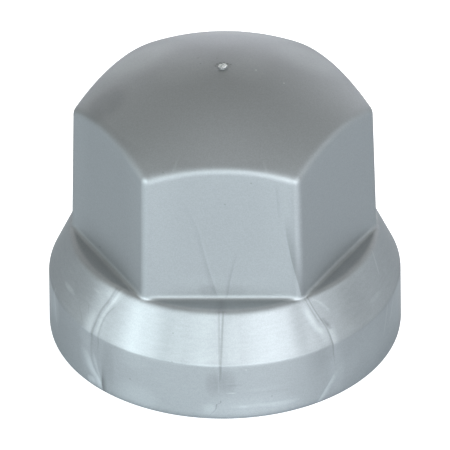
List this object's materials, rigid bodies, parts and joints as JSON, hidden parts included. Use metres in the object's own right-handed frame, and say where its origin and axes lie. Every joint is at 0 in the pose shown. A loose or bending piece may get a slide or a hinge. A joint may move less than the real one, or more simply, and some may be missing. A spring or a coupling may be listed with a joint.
{
  "type": "wheel nut cover cap",
  "caption": "Hollow push-on plastic cap for a hexagonal wheel nut: domed hexagon with grip ribs inside, standing on a flared round collar that covers the nut's flange.",
  "frame": {"origin": "centre of the open end, on the plane that the rim stands on", "axes": "+Z along the nut's axis towards the crown, -Y out of one hexagon flat, +X through a hexagon corner"},
  "size_m": [0.051, 0.051, 0.0428],
  "materials": {
    "silver_plastic": "satin moulded plastic with fine metallic flake"
  },
  "bodies": {
    "root": {"nut_cover_cap": "silver_plastic"}
  },
  "joints": []
}
